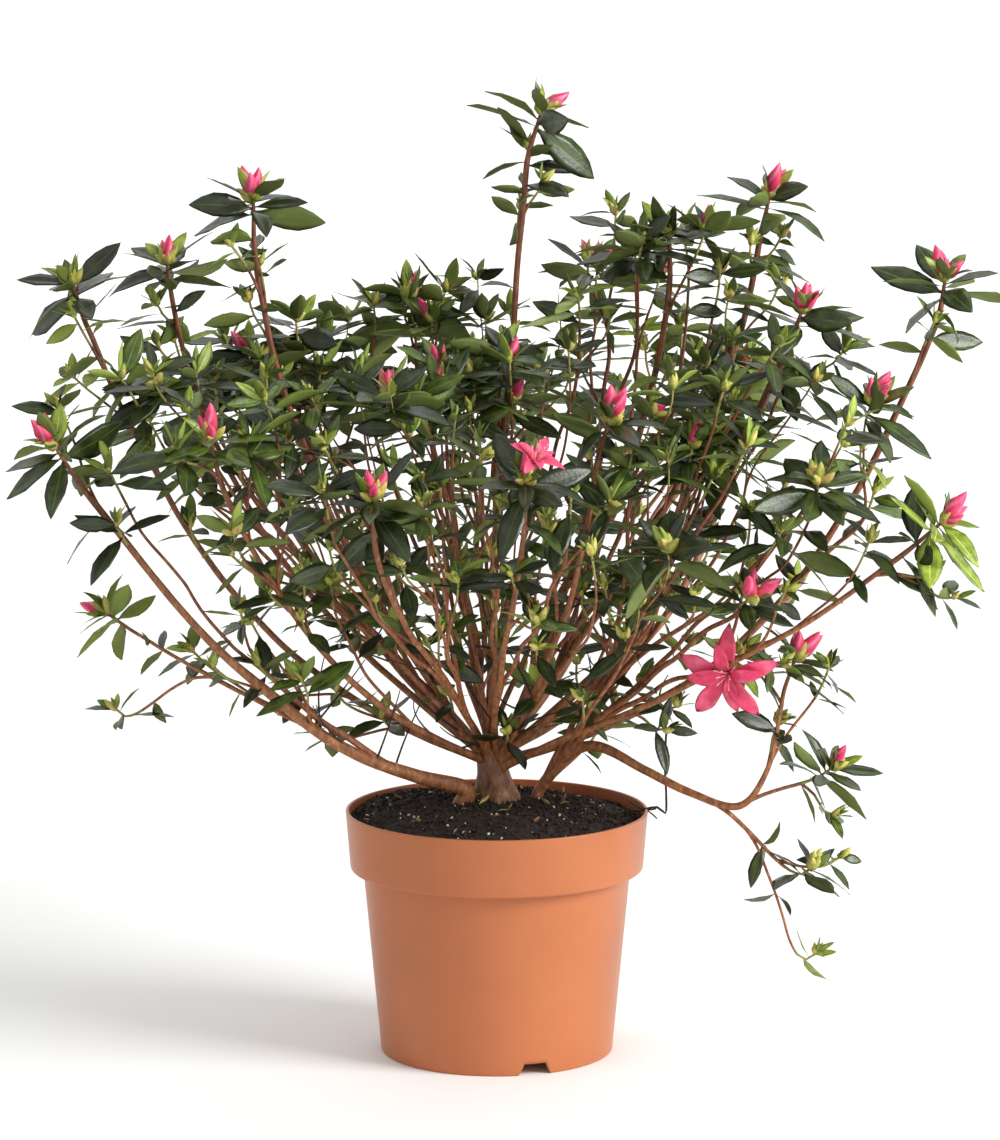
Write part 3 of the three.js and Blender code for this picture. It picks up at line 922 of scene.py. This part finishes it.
def add_flower(at, axis, length, spread, outer, inner):
    """Pointed petals in two whorls round an axis, with stamens in the middle."""
    phase = rng.uniform(0, 6.3)
    whorls = [(outer, 1.0, 90 - spread), (inner, 0.82, 104 - spread)]
    for whorl, (count, size, lift) in enumerate(whorls):
        for k in range(count):
            turn = phase + (k + 0.5 * whorl) * 2 * pi / count + rng.normal(0, 0.08)
            way = around(axis, turn, radians(lift) + rng.normal(0, 0.08))
            shape = petal(*[rng.uniform(*span) for span in PETAL_SPANS])
            face = unit(axis - way * way.dot(axis))
            flowers.put(shape, at, way, face, length * size * rng.uniform(0.92, 1.06))
    t = np.linspace(0, 1, 6)[:, None]
    for k in range(STAMENS):
        way = around(axis, k * 0.9, angle(62, 84))
        line = at + way * t * length * 0.62 + UP * (t**2) * length * 0.10
        flowers.add(*tube(line, np.full(6, 0.35 * MM), 5), 1)
        flowers.put(ANTHER, line[-1], way, around(way, 0, 0), 2.2 * MM, 1)


add_flower(open_flower, unit(np.array([-0.25, -0.95, -0.12])), 33 * MM, 84, 5, 4)
add_flower(front_flower, unit(np.array([0.3, -0.55, 0.8])), 21 * MM, 56, 4, 3)
flowers.build()


# ---- pot
def shape_of(name):
    """A node's points, and how far from the Z axis each is."""
    points = node_points(name)
    return points, np.hypot(points[:, 0], points[:, 1])


pot_shape, pot_reach = shape_of("pot")


def outer_corners():
    """(radius, height) of the corners of the pot's outside, from its foot up."""
    corners, widest = [], 0.0
    for z in np.unique(pot_shape[:, 2].round(4)):
        radius = pot_reach[np.abs(pot_shape[:, 2] - z) < 0.06 * MM].max()
        if radius > widest + 1.5 * MM or (not corners and z > 2.5 * MM and radius > widest):
            corners.append((radius, z))
        widest = max(widest, radius)
    return corners


foot_corner, under_band, band_foot, rim = outer_corners()[-4:]
WALL = 2 * MM
FOOT_RING = 3.5 * MM  # how thick the ring that the pot stands on is
FLOOR_LIFT = 8 * MM
BOSS_RADIUS = 14 * MM  # the middle of the underside comes down to the ground
NOTCH_FOOT, NOTCH_TOP, NOTCH_HEIGHT = 11.5 * MM, 7 * MM, 7.5 * MM  # half widths, and the height


def rounded(profile, radii, steps=5):
    """A profile whose corners are rounded by the given radii."""
    made = [np.array(profile[0])]
    for before, corner, after, radius in zip(profile, profile[1:], profile[2:], radii):
        before, corner, after = np.array(before), np.array(corner), np.array(after)
        a, b = unit(before - corner), unit(after - corner)
        room = [norm(before - corner) * 0.45, norm(after - corner) * 0.45]
        reach = min(radius, *room)
        start, end = corner + a * reach, corner + b * reach
        for t in np.linspace(0, 1, steps):
            made.append((1 - t) ** 2 * start + 2 * t * (1 - t) * corner + t**2 * end)
    return [*made, np.array(profile[-1])]


def split_long(profile, longest):
    """The same profile with points added, so that no stretch is longer than this."""
    made = [profile[0]]
    for a, b in zip(profile, profile[1:]):
        count = max(1, ceil(norm(b - a) / longest))
        made += [a + (b - a) * k / count for k in range(1, count + 1)]
    return made


def lathe(profile, sides, wobble=None):
    """A solid of revolution round +Z; the profile starts and ends on the axis."""
    turns = np.arange(sides) * 2 * pi / sides
    inner = np.array(profile[1:-1])
    reach = inner[:, :1] * np.ones(sides)
    height = inner[:, 1:] * np.ones(sides)
    if wobble is not None:
        reach, height = wobble(reach, height, turns)
    ring = np.stack([reach * np.cos(turns), reach * np.sin(turns), height], -1).reshape(-1, 3)
    points = np.concatenate([ring, [[0, 0, profile[0][1]], [0, 0, profile[-1][1]]]])
    return points, ring_faces(len(inner), sides)


PLASTIC = Look("terracotta_plastic", [(0.35, (177, 102, 60)), (0.65, (185, 109, 66))], 9, 3)
PLASTIC.rough(0.32, 0.40, 60).bump(900, 0.05 * MM, 0.25, 3).set(Specular_IOR_Level=0.42)


def add_pot():
    """The pot's section, from the middle of its underside round the rim to the middle inside."""
    r_foot = foot_corner[0]
    outside = [
        (0, 0), (BOSS_RADIUS, 0), (BOSS_RADIUS, FLOOR_LIFT),
        (r_foot - FOOT_RING, FLOOR_LIFT), (r_foot - FOOT_RING, 0), (r_foot - 0.5 * MM, 0),
        under_band, band_foot, rim, (rim[0] - WALL, rim[1]),
        (band_foot[0] - WALL, band_foot[1] + WALL), (under_band[0] - WALL, under_band[1] + WALL),
        (r_foot - WALL, FLOOR_LIFT + WALL), (0, FLOOR_LIFT + WALL),
    ]  # and how round each corner is, in mm
    edges = np.array([1, 1, 1, 0.8, 1.6, 0.4, 1.6, 0.9, 0.9, 1, 1, 3]) * MM
    profile = split_long(rounded(outside, edges), 9 * MM)
    heap = Heap("nursery_pot", "pot", [PLASTIC])
    heap.add(*lathe(profile, 144))
    cut_notches(heap.build("pot"), r_foot)


def cut_notches(pot, r_foot):
    """Drainage notches through the foot ring, where the CAD pot has them."""
    level = np.abs(pot_shape[:, 2] - NOTCH_HEIGHT) < 0.3 * MM
    near = pot_shape[level & (pot_reach > r_foot - MM)]
    groups = []
    for bearing in np.sort(np.arctan2(near[:, 1], near[:, 0])):
        if not groups or bearing - groups[-1][-1] > 0.5:
            groups.append([])
        groups[-1].append(bearing)
    outline = [(-NOTCH_FOOT, -2 * MM), (NOTCH_FOOT, -2 * MM)]
    outline += [(NOTCH_TOP, NOTCH_HEIGHT), (-NOTCH_TOP, NOTCH_HEIGHT)]
    corners = [(x, y, z) for x in (r_foot - 9 * MM, r_foot + 6 * MM) for y, z in outline]
    sides = [(k, (k + 1) % 4, (k + 1) % 4 + 4, k + 4) for k in range(4)]
    for group in groups:
        block = bpy.data.meshes.new("notch")
        block.from_pydata(corners, [], [(3, 2, 1, 0), (4, 5, 6, 7), *sides])
        block.transform(Matrix.Rotation((group[0] + group[-1]) / 2, 4, "Z"))
        cutter = placed("notch_cutter", block)
        cut = pot.modifiers.new("notch", "BOOLEAN")
        cut.operation, cut.object, cut.solver = "DIFFERENCE", cutter, "EXACT"
        with bpy.context.temp_override(object=pot, active_object=pot):
            bpy.ops.object.modifier_apply(modifier=cut.name)
        bpy.data.objects.remove(cutter)


add_pot()

# ---- compost
compost_low, compost_high = (np.array(c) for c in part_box("compost"))
compost_shape, compost_reach = shape_of("compost")
edge_radius = compost_reach.max()
edge_height = compost_shape[compost_reach > edge_radius - 0.5 * MM][:, 2].max()
MOUND_RADIUS = 34 * MM  # inside this the mound is level, round the stump
WALL_ROOM = 2.6 * MM  # the wall of the pot and a little clearance
EARTHS = [(0.30, (18, 12, 9)), (0.52, (38, 27, 20)), (0.72, (70, 50, 36))]
COMPOST = Look("compost", EARTHS, 260, 8).rough(0.85, 1.0).bump(900, 0.8 * MM, 0.9, 8)
PEAT = Look("peat_crumb", plain_tones((23, 16, 12), (58, 41, 30)), 300)
PEAT.rough(0.85, 1.0).bump(1200, 0.4 * MM)
CHIP = Look("wood_chip", plain_tones((104, 72, 46), (168, 128, 88)), 260).rough(0.7, 0.9)
PERLITE = Look("perlite", plain_tones((196, 188, 176), (232, 228, 220)), 400).rough(0.7, 0.9)


def mound_height(reach):
    """The compost's level, from the wall of the pot up to the mound round the stump."""
    share = np.clip((edge_radius - reach) / (edge_radius - MOUND_RADIUS), 0, 1)
    return edge_height + (compost_high[2] - edge_height) * (share * share * (3 - 2 * share))


def ground_at(x, y):
    """The level there, with its lumps and a bank at the back left."""
    reach = np.hypot(x, y)
    low = noise.noise(Vector((x * 38, y * 38, 2.0))) * 2.4 * MM
    fine = noise.noise(Vector((x * 150, y * 150, 7.0))) * 1.5 * MM
    grit = noise.noise(Vector((x * 420, y * 420, 5.0))) * 0.9 * MM
    bank = 4.5 * MM * max(0.0, (0.8 * y - 0.6 * x) / edge_radius) ** 1.5
    calm = 0.4 + 0.6 * min(1, reach / (30 * MM))  # less of it near the stump
    return float(mound_height(reach)) + bank + (low + fine + grit) * calm - 1.2 * MM


def add_compost():
    """The surface, on a skirt that reaches down inside the pot."""
    bottom = compost_low[2]
    profile = [np.array([0, bottom]), np.array([foot_corner[0] - 3 * MM, bottom])]
    for radius, height in (under_band, band_foot):
        profile.append(np.array([radius - WALL_ROOM, height + WALL_ROOM]))
    skirt = len(profile) - 1
    profile += [np.array([r, edge_height]) for r in np.linspace(edge_radius, 2 * MM, 70)]
    profile.append(np.array([0, mound_height(0.0)]))

    def crumble(reach, height, turns):
        x, y = reach * np.cos(turns), reach * np.sin(turns)
        for i in range(skirt, len(reach)):
            height[i] = [ground_at(a, b) for a, b in zip(x[i], y[i])]
        return reach, height

    heap = Heap("compost_bed", "compost", [COMPOST])
    heap.add(*lathe(profile, 200, crumble))
    heap.build("compost")


def scatter(name, count, low, high, stretch, look):
    """Lumps over the surface of the compost: balls squeezed and turned at random, half sunk."""
    heap = Heap(name, "compost", [look])
    points, faces = CRUMB
    for _ in range(count):
        reach = (edge_radius - 2.5 * MM) * sqrt(rng.random())
        turn = rng.uniform(0, 2 * pi)
        x, y = reach * cos(turn), reach * sin(turn)
        size = rng.uniform(low, high) * MM
        lie = np.linalg.qr(rng.normal(0, 1, (3, 3)))[0]
        body = (points - [0.5, 0, 0]) * stretch * rng.uniform(0.75, 1.25, points.shape)
        heap.add(np.array([x, y, ground_at(x, y) + size * 0.22]) + body * size @ lie, faces)
    heap.build(smooth=False)


add_compost()
scatter("peat_crumbs", 1900, 0.9, 3.6, (1.0, 0.8, 0.7), PEAT)
scatter("wood_chips", 40, 2.5, 8, (1.0, 0.42, 0.25), CHIP)
scatter("perlite", 110, 0.8, 2.4, (1.0, 0.9, 0.8), PERLITE)

# ---- litter and dead twigs
SCRAP = Look("dry_leaf", plain_tones((150, 146, 62), (208, 202, 128)), 200).rough(0.6, 0.8)
DEAD_WOOD = Look("dead_wood", plain_tones((30, 24, 20), (66, 50, 40)), 300).rough(0.7, 0.9)
# Where the dry leaves lie, as shares of the compost's radius, and how long they are in mm.
DRY_LEAVES = [
    (-0.31, 0.2, 13), (-0.1, 0.05, 19), (-0.12, -0.3, 12), (0.1, -0.4, 10), (0.42, -0.2, 8),
]
DEAD_TWIGS, ROOTLETS = 34, 9
# The wiry twig over the rim: right and back as shares of the rim's radius, and mm above the rim.
WIRY_LINE = [
    (0.92, 0.02, -2), (1.06, 0, 1), (1.115, 0, -3), (1.12, 0, 8), (1.11, 0, 30), (1.12, 0, 52),
]


def add_litter():
    """Dry leaves and bits of leaf on the compost."""
    litter = Heap("dry_leaves", "compost", [SCRAP])
    for across, deep, length in DRY_LEAVES:
        x, y = across * edge_radius, deep * edge_radius
        way = unit(np.array([rng.normal(), rng.normal(), 0.25]))
        bed = np.array([x, y, ground_at(x, y) + 3.2 * MM])
        shape = YOUNG[rng.integers(len(YOUNG))]
        litter.put(shape, bed, way, unit(UP + rng.normal(0, 0.3, 3)), length * MM)
    litter.build()


def add_dead_twigs():
    """Thin dark twigs that cross between the stems, and a wiry one that hangs over the rim."""
    dead = Heap("dead_twigs", "bark", [DEAD_WOOD])
    flat = [1, 1, 0.3]
    t = np.linspace(0, 1, 8)[:, None]
    for _ in range(DEAD_TWIGS):
        line = bough_limbs[rng.integers(len(bough_limbs))]["line"]
        start = line[int(len(line) * rng.uniform(0.06, 0.36))]
        way = unit(rng.normal(0, 0.8, 3) * flat + 0.5 * UP)
        length = rng.uniform(30, 75) * MM
        bend = rng.normal(0, 0.3, 3) * flat
        line = start + (way * t + bend * t**2) * length
        dead.add(*tube(line, np.linspace(0.75, 0.35, 8) * MM, 5))
    hang = np.array(WIRY_LINE) * [rim[0], rim[0], MM] + [0, 0, rim[1]]
    wiry = smooth_line(hang, 4 * MM)[0]
    dead.add(*tube(wiry, np.full(len(wiry), 0.8 * MM), 6))
    for _ in range(ROOTLETS):
        way = unit(rng.normal(0, 1, 3) * flat)
        curl = rng.normal(0, 0.7, 3) * flat
        dead.add(*tube(wiry[1] + (way * t + curl * t**2) * 9 * MM, np.full(8, 0.5 * MM), 5))
    dead.build()


add_litter()
add_dead_twigs()

# ---- floor, light and camera
FLOOR_SIZE = 14.0
BACKDROP = 7.0  # how far behind the plant the floor curves up, out of the way of a view from behind
BACKDROP_CURVE = 1.2
BACKDROP_HEIGHT = 5.0
KEY_POWER, BACKDROP_POWER, WORLD_STRENGTH = 86, 150, 0.74
LENS, SENSOR = 159.06, 36  # mm
CAMERA_PLACE = (0.002, -3.1, 0.808)
CAMERA_DIP = 9.2  # degrees that it looks down


def add_floor():
    """A pale floor that curves up far behind the plant into a pale backdrop."""
    bend = [
        (BACKDROP + BACKDROP_CURVE * sin(turn), BACKDROP_CURVE * (1 - cos(turn)))
        for turn in np.linspace(0, pi / 2, 14)
    ]
    profile = [(-FLOOR_SIZE, 0.0), *bend, (BACKDROP + BACKDROP_CURVE, BACKDROP_HEIGHT)]
    corners = [(x, y, z) for y, z in profile for x in (-FLOOR_SIZE, FLOOR_SIZE)]
    faces = [(2 * k, 2 * k + 1, 2 * k + 3, 2 * k + 2) for k in range(len(profile) - 1)]
    mesh = bpy.data.meshes.new("floor")
    mesh.from_pydata(corners, [], faces)
    mesh.polygons.foreach_set("use_smooth", [True] * len(faces))
    look = Look("studio_paper", plain_tones((244, 244, 243), (247, 247, 246)), 3)
    mesh.materials.append(look.rough(0.8, 0.9, 10).material)
    floor = placed("floor", mesh)


def area_light(name, at, aim, width, height, power):
    data = bpy.data.lights.new(name, "AREA")
    data.shape, data.size, data.size_y = "RECTANGLE", width, height
    data.energy = power
    light = placed(name, data)
    light.location = at
    light.rotation_euler = (Vector(aim) - Vector(at)).to_track_quat("-Z", "Y").to_euler()


add_floor()
area_light("key", (2.2, -1.1, 1.5), (0, 0, 0.3), 1.3, 1.3, KEY_POWER)
area_light("backdrop", (0, 3.6, 4.4), (0, 6.6, 0.2), 4.5, 1.8, BACKDROP_POWER)
world = bpy.data.worlds.new("studio")
world.use_nodes = True
fill(world.node_tree.nodes["Background"], dict(Color=(1, 1, 1, 1), Strength=WORLD_STRENGTH))
bpy.context.scene.world = world
bpy.context.scene.view_settings.view_transform = "Standard"

lens = bpy.data.cameras.new("camera")
lens.lens, lens.sensor_width, lens.clip_end = LENS, SENSOR, 50
camera = placed("camera", lens)
camera.location = CAMERA_PLACE
camera.rotation_euler = (radians(90 - CAMERA_DIP), 0, 0)
bpy.context.scene.camera = camera
